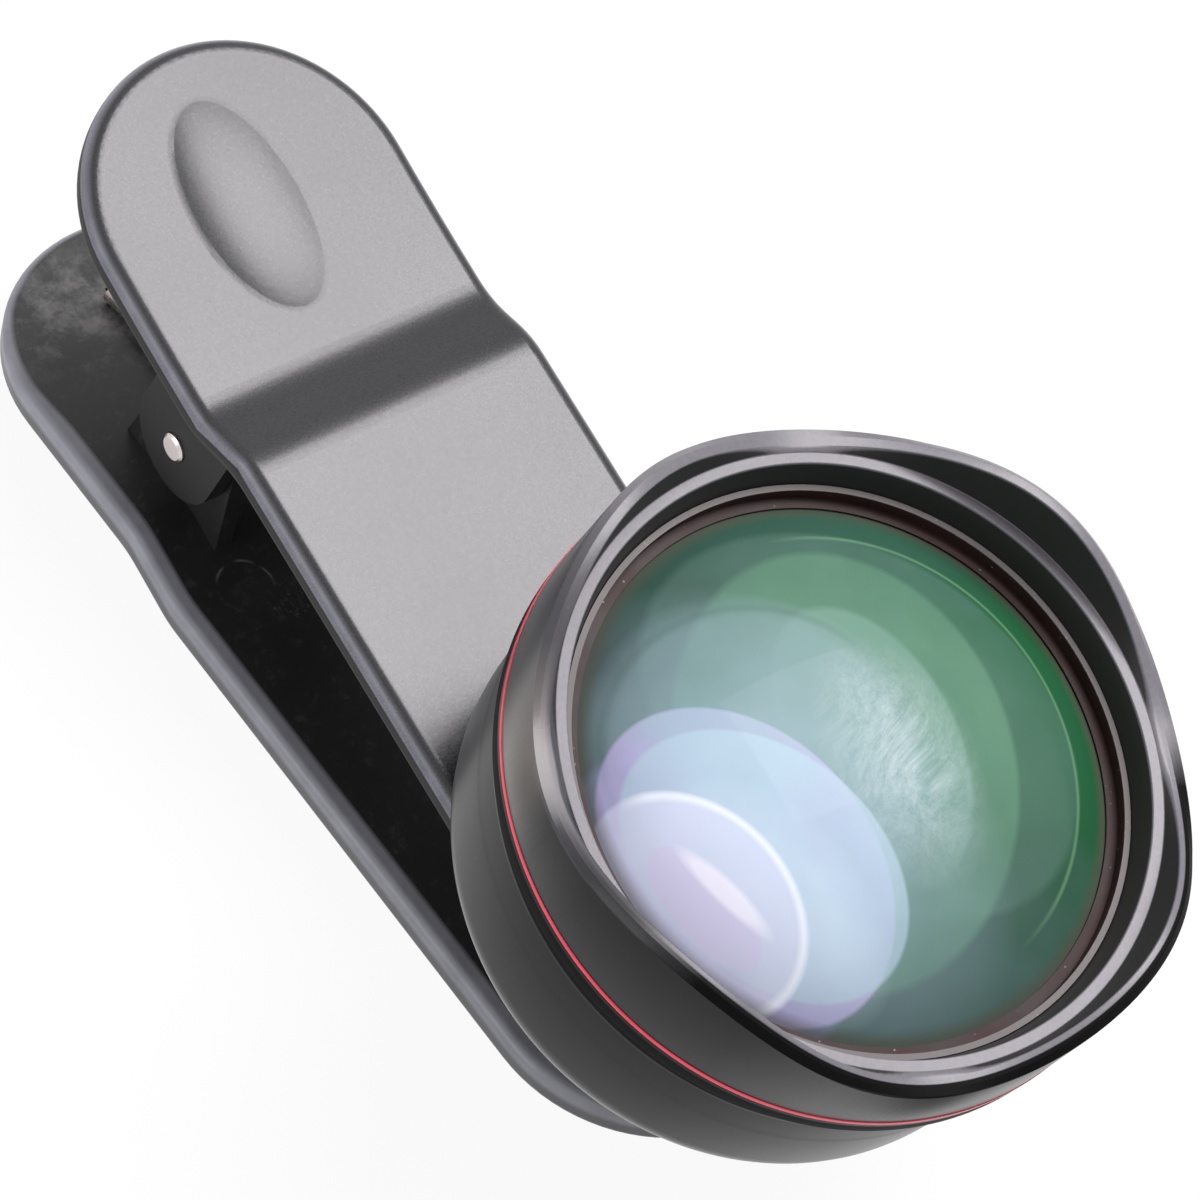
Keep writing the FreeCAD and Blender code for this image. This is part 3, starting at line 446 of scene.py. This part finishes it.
def lens_metal():
    """Dark grey anodised metal with painted highlights on the edges inside the hood and the rim.

    It has a painted warm reflection on part of the hood's side, painted shade on one side in a
    darker, smoother layer, and painted dark reflections in the black band behind the red ring and
    on the low side of the rim's chamfer.
    """
    shader = Shader("lens_metal")
    across, along, height = lens_place(shader)
    radius = distance(across, along)
    turn = along.math("ARCTAN2", across)
    rim = ((turn - PETAL_ANGLE) * PETALS).math("COSINE") * RIM_WAVE + RIM_MEAN
    below_rim = rim - height
    cloud = shader.noise(150)

    # Colour, with a painted warm reflection, painted highlights on the edges, and dust.
    tone = shader.blend(cloud, linear(34, 34, 36), linear(42, 42, 45))
    warm = turn.band(*WARM_REFLECTION_TURNS, 0.12) * radius.remap(WALL_HIGH + 0.1, WALL_HIGH + 0.4)
    warm = warm * height.remap(JOINT, JOINT + 0.4)
    tone = shader.blend(warm * 0.5, tone, linear(150, 141, 134))
    # Painted highlights on the rim's top, the inner ledge and a line on the barrel.
    near_side = (across - along * 0.35).remap(-13.0, -20.0, 1.0, 0.25)
    rim_top = below_rim.remap(RIM_CHAMFER + 0.07, RIM_CHAMFER - 0.05) * near_side
    ledge = height.band(LEDGE - 0.14, LEDGE + 0.06, 0.03) * radius.remap(
        WALL_LOW + 0.25, WALL_LOW + 0.05)
    line = height.band(GROOVE_LOW - 1.0, GROOVE_LOW - 0.75, 0.04)
    grain = shader.noise(2600, 2.0, 0.6)
    edge_highlights = rim_top.larger(ledge).larger(line * 0.8) * grain.spread(0.85, 1.0)
    tone = shader.blend(edge_highlights, tone, linear(112, 109, 115))
    dust = shader.dust(900, 0.06, shader.noise(260).remap(0.5, 0.68))
    tone = shader.blend(dust * 0.3, tone, linear(150, 148, 146))

    # The matt wall inside the hood.
    inner_wall = radius.remap(WALL_HIGH + 0.15, WALL_HIGH + 0.05) * below_rim.remap(0.05, 0.2)
    inner_wall = inner_wall * (1 - ledge) * height.remap(HOOD_FOOT - 0.05, HOOD_FOOT + 0.45)
    shader.cover(inner_wall, shader.layer((0.024, 0.022, 0.022), 0.45, 0.2))

    # Painted shade on one side, in a darker layer that is smoother than the rest.
    facing = (across * math.cos(SHADED_SIDE) + along * math.sin(SHADED_SIDE)) / radius
    hood_shade = facing.remap(0.82, 0.96) * below_rim.remap(0.35, 0.6, 0.5, 0.9)
    barrel_shade = facing.remap(0.45, 0.95, 0.0, 0.85)
    on_hood = height.remap(JOINT - 0.1, JOINT)
    past_foot = radius.remap(REAR_RADIUS - SHOULDER, REAR_RADIUS - SHOULDER + 0.5)
    outer = past_foot * radius.remap(WALL_HIGH + 0.2, WALL_HIGH + 0.4).larger(
        height.remap(JOINT, JOINT - 0.1))
    dark = (hood_shade * on_hood + barrel_shade * (1 - on_hood)) * outer
    shader.cover(dark, shader.layer((0.008, 0.0075, 0.0075), 0.18, 0.08))

    # Painted dark reflections: the black band behind the red ring, and the rim's black edge on its
    # low side.
    flange = height.band(GROOVE_LOW - 0.7, JOINT - 0.45, 0.05) * radius.remap(
        GROOVE_RADIUS - 0.4, GROOVE_RADIUS - 0.1)
    rim_edge = below_rim.remap(RIM_CHAMFER + 0.07, RIM_CHAMFER - 0.01) * radius.remap(
        WALL_HIGH + 0.32, WALL_HIGH + 0.4)
    black = flange.larger(rim_edge * turn.band(*LOW_SIDE, 0.10))
    shader.cover(black, shader.layer((0.004, 0.004, 0.004), 0.5, 0.04))

    shader.set(shader.surface, {"Specular IOR Level": 0.35})
    return shader.finish(
        Base_Color=tone,
        Roughness=cloud.spread(0.27, 0.33),
        Normal=shader.bump(shader.noise(7000), 0.2, 0.00002))


def red_metal():
    """Red anodised ring."""
    shader = Shader("red_metal", roughness=0.3)
    return shader.finish(
        Base_Color=shader.blend(shader.noise(500), linear(214, 24, 60), linear(236, 44, 78)))


def steel(name, grain_direction, scale):
    """Bright steel with fine lines."""
    shader = Shader(name, metallic=1.0)
    lines = shader.noise(scale, 3.0, point=shader.point.vector("MULTIPLY", grain_direction))
    return shader.finish(
        Base_Color=shader.blend(lines, linear(196, 186, 184), linear(226, 216, 214)),
        Roughness=lines.spread(0.24, 0.38))


def rubber(name):
    """Matt black rubber."""
    shader = Shader(name)
    cloud = shader.noise(400, 3.0)
    return shader.finish(
        Base_Color=shader.blend(cloud, (0.012, 0.012, 0.013), (0.02, 0.02, 0.021)),
        Roughness=cloud.spread(0.62, 0.75),
        Normal=shader.bump(shader.noise(5000), 0.3, 0.00003))


def brown_ring():
    """Thin painted ring round the glass, dusty, paler along its upper edge."""
    shader = Shader("retainer_black")
    height = lens_place(shader)[2]
    cloud = shader.noise(250, 3.0)
    tone = shader.blend(cloud, linear(34, 24, 24), linear(58, 36, 34))
    edge = height.remap(RETAINER_TOP - 0.12, RETAINER_TOP - 0.05)
    tone = shader.blend(edge, tone, linear(112, 106, 106))
    dust = shader.dust(1300, 0.07, shader.noise(500).remap(0.45, 0.6))
    shader.set(shader.surface, {"Specular IOR Level": 0.2})
    return shader.finish(
        Base_Color=shader.blend(dust * 0.7, tone, linear(160, 154, 148)),
        Roughness=cloud.spread(0.45, 0.55))


# Painted reflections on the coated glass, in the lens's frame: middle across and along, half
# sizes across and along in millimetres, turn in degrees, softness as a share, colour, strength.
PALE_DISC = (182, 174, 216)
SMALL_DISC = (-14.6, -3.0, 5.1, 7.8, 12)
REFLECTIONS = [
    (1.8, 1.8, 12.3, 15.2, 33, 0.02, (94, 126, 116), 0.42),
    (-1.5, 0.1, 11.4, 14.4, -30, 0.02, (98, 142, 116), 0.60),
    (-6.5, 2.5, 9.6, 10.6, 0, 0.10, (132, 158, 162), 0.50),
    (-7.0, -1.0, 8.5, 12.5, 15, 0.45, (142, 168, 178), 0.60),
    (-13.5, -3.2, 7.2, 10.6, 10, 0.03, (128, 140, 170), 0.75),
    (-10.7, -2.4, 7.2, 10.9, 10, 0.012, PALE_DISC, 0.85),
    (-9.8, -3.0, 6.5, 10.0, 20, 0.015, (172, 197, 211), 0.80),
    (-10.4, -5.2, 3.6, 7.0, 14, 0.35, (204, 226, 236), 0.50),
    (*SMALL_DISC, 0.02, (210, 214, 236), 0.75),
    (-14.4, -3.4, 1.8, 4.6, 12, 0.03, (208, 200, 230), 0.75),
    (-13.1, -3.2, 0.6, 3.4, 16, 0.25, (240, 240, 252), 0.85),
]
# A large painted reflection, the haze, and two thin painted reflected arcs on the glass, in the
# lens's frame.
LARGE_PATCH = (0.0, 0.2, 6.0, 9.5, -11)
HAZE = (1.0, -1.4, 5.4, 8.2, -8)
DARK_ARC = (-6.3, 3.2)
DARK_ARC_RADIUS = 9.525
PALE_LINE_RADIUS = 15.225


def coated_glass():
    """Front glass: clear, mostly covered by a layer with painted soft reflections in the greens of
    its coating.
    """
    shader = Shader("coated_glass", roughness=0.0, colour=linear(214, 240, 226))
    shader.set(shader.surface, {"Transmission Weight": 1.0, "IOR": 1.5,
                                "Specular IOR Level": 0.1})
    across, along = lens_place(shader)[:2]
    radius = distance(across, along)

    def stretched(middle_across, middle_along, half_across, half_along, turn):
        """1 on the edge of an ellipse and less inside it."""
        cosine, sine = math.cos(math.radians(turn)), math.sin(math.radians(turn))
        first, second = across - middle_across, along - middle_along
        return distance((first * cosine + second * sine) / half_across,
                        (second * cosine - first * sine) / half_along)

    # Painted reflections: wide, soft fields of colour.
    place = shader.flat_point(across, along)
    cloud = shader.noise(0.16, 3.0, point=place)
    sway = (cloud - 0.5) * 9
    green = (across + along * 0.15 + sway).remap(-9.0, 13.0)
    tone = shader.blend(green, linear(46, 56, 54), linear(34, 90, 56))
    high = (along + across * 0.3 + sway).remap(7.0, 17.0)
    tone = shader.blend(high * 0.7, tone, linear(56, 88, 80))
    low = (along + across * 0.2 + sway).remap(-8.0, -16.0)
    tone = shader.blend(low * 0.6, tone, linear(84, 112, 108))
    patch = stretched(*LARGE_PATCH).remap(0.97, 1.03, 1.0, 0.0)
    patch = patch * (across + along * 0.25).remap(-7.0, 3.0)
    tone = shader.blend(patch * 0.62, tone, linear(150, 178, 176))

    # The painted reflections, one over the other.
    patchy = cloud.remap(0.35, 0.65, 0.75, 1.0)
    for *shape, soft, colour, strength in REFLECTIONS:
        share = stretched(*shape).remap(1 - soft, 1 + soft, strength, 0.0) * patchy
        tone = shader.blend(share, tone, linear(*colour))
        if colour == PALE_DISC:
            streak = (across + along * 0.3).band(-10.0, -3.5, 1.2) * along.remap(-2.0, 2.0)
            tone = shader.blend(share * streak * 0.7, tone, linear(150, 182, 186))

    # Thin painted reflected arcs.
    arc = stretched(*SMALL_DISC).band(0.93, 1.0, 0.03) * across.remap(-15.6, -14.0)
    tone = shader.blend(arc * 0.7, tone, linear(236, 242, 250))
    dark_arc = distance(across - DARK_ARC[0], along - DARK_ARC[1]).band(
        DARK_ARC_RADIUS - 0.175, DARK_ARC_RADIUS + 0.175, 0.25) * along.remap(4.0, 9.0)
    tone = shader.blend(dark_arc * 0.30, tone, linear(60, 84, 84))
    pale_line = radius.band(PALE_LINE_RADIUS - 0.125, PALE_LINE_RADIUS + 0.125, 0.08)
    tone = shader.blend(pale_line * across.remap(3.0, 8.0) * 0.35, tone, linear(132, 178, 138))

    # A haze of fine fibres, and the darker edge of the glass.
    bend = shader.noise(0.12, 1.0, point=place) * 5
    fibres = shader.noise(1.0, 9.0, 0.85, point=shader.flat_point(
        (across * 0.55 - along * 0.83) * 1.1 + bend, (across * 0.83 + along * 0.55) * 0.5 + bend))
    haze = stretched(*HAZE).remap(0.15, 1.05, 1.0, 0.0)
    tone = shader.blend(haze * fibres.remap(0.38, 0.70) * 0.7, tone, linear(206, 218, 220))
    tone = shader.blend(haze * fibres.remap(0.43, 0.32) * 0.4, tone, linear(112, 152, 146))
    edge = radius.remap(GLASS_RADIUS - 0.6, GLASS_RADIUS + 0.1)
    tone = shader.blend(edge * 0.65, tone, linear(84, 82, 70))
    # A layer with the painted reflections covers most of the clear glass.
    shader.cover(radius.remap(12.0, GLASS_RADIUS, 0.94, 0.90), shader.layer(tone, 0.5, 0.15))
    return shader.material


def clear_glass():
    """Inner glass."""
    shader = Shader("clear_glass", roughness=0.0)
    shader.set(shader.surface, {"Transmission Weight": 1.0, "IOR": 1.5})
    return shader.finish(
        Base_Color=shader.blend(shader.noise(100), linear(228, 240, 246), linear(236, 246, 250)))


def threaded_metal():
    """Black metal with a fine screw thread round it."""
    shader = Shader("threaded_metal")
    across, along, height = lens_place(shader)
    turn = along.math("ARCTAN2", across)
    thread = (height * (2 * math.pi / THREAD_PITCH) - turn).math("SINE")
    cloud = shader.noise(300)
    return shader.finish(
        Base_Color=shader.blend(cloud, (0.010, 0.010, 0.011), (0.016, 0.016, 0.017)),
        Roughness=cloud.spread(0.3, 0.4),
        Normal=shader.bump(thread, 0.8, 0.00008))


def dress(name, material):
    """Gives a CAD node its material."""
    mesh = nodes[name].data
    mesh.materials.clear()
    mesh.materials.append(material)


LENS = lens_metal()
RED = red_metal()
SPRING = steel("spring_steel", (1.0, 1.0, 1.0), 2500)
BLACK = dark_metal("black_metal", (0.012, 0.012, 0.013), 0.32)
RUBBER = rubber("rubber")
CLEAR = clear_glass()

dress("back_arm", back_plastic())
dress("front_arm", front_plastic())
for name in ("back_jaw_pad", "front_jaw_pad", "seat_washer"):
    dress(name, RUBBER)
dress("hinge_pin", steel("pin_steel", (0.2, 1.0, 1.0), 3000))
dress("torsion_spring", SPRING)
for name in ("barrel", "petal_hood"):
    dress(name, LENS)
dress("mount_neck", threaded_metal())
dress("front_retaining_ring", brown_ring())
for name in ("mount_ring", "light_baffle", "rear_cell", "rear_spacer", "rear_retaining_ring"):
    dress(name, BLACK)
dress("accent_ring", RED)
dress("front_element", coated_glass())
for name in ("front_flint_element", "rear_front_element", "rear_back_element"):
    dress(name, CLEAR)


# Pieces that stand for CAD nodes, with the fine roundings that those leave out

def put(name, data):
    """Object of a mesh, a lamp or a camera, in the scene."""
    thing = bpy.data.objects.new(name, data)
    bpy.context.scene.collection.objects.link(thing)
    return thing


def mesh_object(name, bm, material, body, stands_for=None):
    """Object of a finished bmesh, riding on a body."""
    bmesh.ops.recalc_face_normals(bm, faces=bm.faces)
    mesh = bpy.data.meshes.new(name)
    bm.to_mesh(mesh)
    bm.free()
    mesh.polygons.foreach_set("use_smooth", [True] * len(mesh.polygons))
    mesh.materials.append(material)
    piece = put(name, mesh)
    if body:
        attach(piece, body)
    if stands_for:
        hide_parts(stands_for)
    return piece


def rounded(corners):
    """Outline through (radius, height, rounding) corners, each cut by a short arc."""
    points = []
    for number, (radius, height, rounding) in enumerate(corners):
        corner = Vector((radius, height))
        if not rounding:
            points.append(corner)
            continue
        before = Vector(corners[number - 1][:2]) - corner
        after = Vector(corners[(number + 1) % len(corners)][:2]) - corner
        half = before.angle(after) / 2
        reach = min(rounding / math.tan(half), before.length * ROUNDING_SHARE,
                    after.length * ROUNDING_SHARE)
        size = reach * math.tan(half)
        middle = corner + (before.normalized() + after.normalized()).normalized() * (
            size / math.sin(half))
        start = corner + before.normalized() * reach - middle
        finish = corner + after.normalized() * reach - middle
        steps = SHOULDER_STEPS if rounding == SHOULDER else EDGE_STEPS
        sweep = start.angle_signed(finish)
        for step in range(steps + 1):
            points.append(middle + Matrix.Rotation(-sweep * step / steps, 2) @ start)
    return points


def wave_rim(bm):
    """Stretches the hood's wall above its ledge into petals."""
    for vert in bm.verts:
        if vert.co.z > LEDGE + WAVE_START:
            turn = math.atan2(vert.co.y, vert.co.x)
            rim = RIM_MEAN + RIM_WAVE * math.cos(PETALS * (turn - PETAL_ANGLE))
            below = RIM_MEAN - vert.co.z
            vert.co.z = rim - below * min(1.0, (rim - LEDGE) / (RIM_MEAN - LEDGE))


def lathe(name, corners, material, node, wavy=False):
    """Piece turned about the lens's axis from its outline."""
    bm = bmesh.new()
    verts = [bm.verts.new((point.x, 0, point.y)) for point in rounded(corners)]
    edges = [bm.edges.new((verts[number - 1], verts[number])) for number in range(len(verts))]
    bmesh.ops.spin(bm, geom=verts + edges, cent=(0, 0, 0), axis=(0, 0, 1), dvec=(0, 0, 0),
                   angle=2 * math.pi, steps=TURN_STEPS, use_merge=True, use_duplicate=False)
    if wavy:
        wave_rim(bm)
    bmesh.ops.transform(bm, matrix=LENS_FRAME @ Matrix.Scale(MM, 4), verts=bm.verts)
    return mesh_object(name, bm, material, "lens", node)


def make_lens():
    """Barrel, red ring and hood with rounded edges."""
    lathe("barrel_body", [
        (THREAD_RADIUS, BARREL_REAR, EDGE), (REAR_RADIUS, BARREL_REAR, SHOULDER),
        (FRONT_RADIUS, GROOVE_LOW, EDGE), (GROOVE_RADIUS, GROOVE_LOW, 0),
        (GROOVE_RADIUS, CHAMFER_LOW, 0), (FLANGE - CHAMFER, CHAMFER_LOW, EDGE),
        (FLANGE, FLANGE_LOW, EDGE), (FLANGE, JOINT, EDGE / 2), (SPIGOT_BORE, JOINT, 0),
        (SPIGOT_BORE, BARREL_LEDGE, 0), (CAVITY_RADIUS, BARREL_LEDGE, EDGE),
        (CAVITY_RADIUS, BARREL_REAR + SHOULDER, 0), (CONE_RADIUS, CAVITY_FLOOR, 0),
        (THREAD_RADIUS, CAVITY_FLOOR, 0)], LENS, "barrel")
    top = JOINT + ACCENT_WIDTH
    lathe("red_line", [
        (SPIGOT_BORE, JOINT, 0), (ACCENT_RADIUS, JOINT, EDGE / 2),
        (ACCENT_RADIUS, top, EDGE / 2), (SPIGOT_BORE, top, 0)], RED, "accent_ring")
    lathe("wavy_hood", [
        (SEAT_RADIUS, HOOD_FOOT, 0), (SPIGOT, HOOD_FOOT, EDGE), (SPIGOT, top, 0),
        (FLANGE, top, EDGE / 2), (FLANGE, RIM_MEAN - RIM_CHAMFER, EDGE),
        (FLANGE - RIM_CHAMFER, RIM_MEAN, EDGE), (WALL_HIGH, RIM_MEAN, EDGE),
        (WALL_LOW, LEDGE, EDGE), (LEDGE_INNER, LEDGE, EDGE), (CELL_BORE, RETAINER_TOP, 0),
        (CELL_BORE, SEAT_HEIGHT, 0), (SEAT_RADIUS, SEAT_HEIGHT, EDGE)],
        LENS, "petal_hood", wavy=True)


def leg_length(tip):
    """Length of the spring's straight leg from the coil to a tip."""
    return (math.hypot(*tip) ** 2 - COIL_RADIUS ** 2) ** 0.5


def leg_angle(tip, way):
    """Angle on the coil where the straight leg to a tip leaves it."""
    return math.atan2(tip[1], tip[0]) + way * (
        math.pi / 2 - math.asin(COIL_RADIUS / math.hypot(*tip)))


def make_spring():
    """Coil with two legs, between the arms."""
    front_tip = Matrix.Rotation(JAW_TILT, 2) @ Vector(FRONT_LEG_TIP)
    start = leg_angle(BACK_LEG_TIP, -1)
    finish = leg_angle(front_tip, 1)
    sweep = (start - finish) % (2 * math.pi) + 2 * math.pi * COIL_TURNS
    length = COIL_PITCH * sweep / (2 * math.pi)
    rise = COIL_PITCH / (2 * math.pi * COIL_RADIUS)
    low = COIL_SHIFT - length / 2

    def spot(sideways, angle, past=0.0):
        """Point at an angle of the coil, or past it on a straight leg."""
        return Vector((sideways + rise * past,
                       COIL_RADIUS * math.cos(angle) + math.sin(angle) * past,
                       COIL_RADIUS * math.sin(angle) - math.cos(angle) * past))

    steps = STEPS_A_TURN * (COIL_TURNS + 1)
    path = [spot(low, start, -share * leg_length(BACK_LEG_TIP)) for share in reversed(LEG_SHARES)]
    path += [spot(low + length * step / steps, start - sweep * step / steps)
             for step in range(steps + 1)]
    path += [spot(low + length, finish, share * leg_length(front_tip)) for share in LEG_SHARES]

    bm = bmesh.new()
    last_ring = None
    for number, place in enumerate(path):
        ahead = path[min(number + 1, len(path) - 1)] - path[max(number - 1, 0)]
        aim = ahead.to_track_quat("Z", "X").to_matrix().to_4x4()
        circle = bmesh.ops.create_circle(
            bm, cap_ends=number in (0, len(path) - 1), segments=WIRE_SIDES, radius=WIRE_RADIUS,
            matrix=Matrix.Translation(place) @ aim)["verts"]
        ring = list({edge for vert in circle for edge in vert.link_edges})
        if last_ring:
            bmesh.ops.bridge_loops(bm, edges=last_ring + ring)
        last_ring = ring
    bmesh.ops.transform(bm, matrix=Matrix.Translation(HINGE) @ Matrix.Scale(MM, 4), verts=bm.verts)
    spring = mesh_object("hinge_spring", bm, SPRING, None)
    inner = 0.5 * COIL_PITCH
    HINGE + Vector(((low + inner) * MM, 0, 0))
    HINGE + Vector(((low + length - inner) * MM, 0, 0))
    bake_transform(spring)
    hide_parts("torsion_spring")


make_lens()
make_spring()


# Camera, floor and light, in metres

CAMERA_PLACE = Vector((-0.147896, -0.094009, 0.257949))
CAMERA_TARGET = Vector((0.004165, 0.018036, 0.020000))
CAMERA_ROLL = math.radians(20.567)
CAMERA_LENS = 135.696
LIGHT_TARGET = Vector((0, 0.02, 0.02))
FLOOR_HALF_SIDE = 1.5
FLOOR_GLOW = 0.93
WORLD_ON_OBJECT = 0.35


def place_camera():
    """The photograph's view."""
    data = bpy.data.cameras.new("camera")
    data.lens = CAMERA_LENS
    data.sensor_width = 36
    data.clip_start = 0.01
    data.clip_end = 10
    camera = put("camera", data)
    aim = (CAMERA_TARGET - CAMERA_PLACE).to_track_quat("-Z", "Y")
    camera.rotation_mode = "QUATERNION"
    camera.rotation_quaternion = aim @ Quaternion((0, 0, 1), CAMERA_ROLL)
    camera.location = CAMERA_PLACE
    bpy.context.scene.camera = camera


def soft_box(name, direction, away, width, height, power, colour):
    """An area lamp that looks at the object from a direction."""
    data = bpy.data.lights.new(name, "AREA")
    data.color = colour
    data.shape = "RECTANGLE"
    data.size = width
    data.size_y = height
    data.energy = power
    lamp = put(name, data)
    way = Vector(direction).normalized()
    lamp.location = LIGHT_TARGET + way * away
    lamp.rotation_mode = "QUATERNION"
    lamp.rotation_quaternion = (-way).to_track_quat("-Z", "Y")


def light_world():
    """White surroundings, dimmer where they light the object."""
    world = bpy.data.worlds.new("studio")
    bpy.context.scene.world = world
    world.use_nodes = True
    studio = NodeTree(world.node_tree)
    studio.set(world.node_tree.nodes["Background"], {
        "Color": (1, 1, 1),
        "Strength": studio.white_for_eye().remap(0.0, 1.0, WORLD_ON_OBJECT, 1.0)})


def lay_floor():
    """Pale floor under the clip."""
    bm = bmesh.new()
    bmesh.ops.create_grid(bm, x_segments=1, y_segments=1, size=FLOOR_HALF_SIDE)
    bmesh.ops.translate(bm, verts=bm.verts, vec=(0, 0, cad_box[0].z))
    mesh = bpy.data.meshes.new("floor")
    bm.to_mesh(mesh)
    bm.free()
    shader = Shader("pale_floor", roughness=0.9, colour=(0.9, 0.9, 0.9))
    shader.cover(shader.white_for_eye() * FLOOR_GLOW,
                 shader.node("ShaderNodeEmission", {}, {"Strength": 1.0}))
    mesh.materials.append(shader.material)
    floor = put("floor", mesh)


place_camera()
light_world()
lay_floor()
soft_box("key", direction=(0.38, -0.03, 0.925), away=0.8, width=0.44, height=0.48, power=8.2,
         colour=(1.0, 0.975, 1.0))
soft_box("side", direction=(-0.90, 0.27, 0.33), away=0.8, width=0.5, height=0.36, power=1.5,
         colour=(0.92, 0.95, 1.0))

bpy.context.scene.view_settings.view_transform = "Standard"
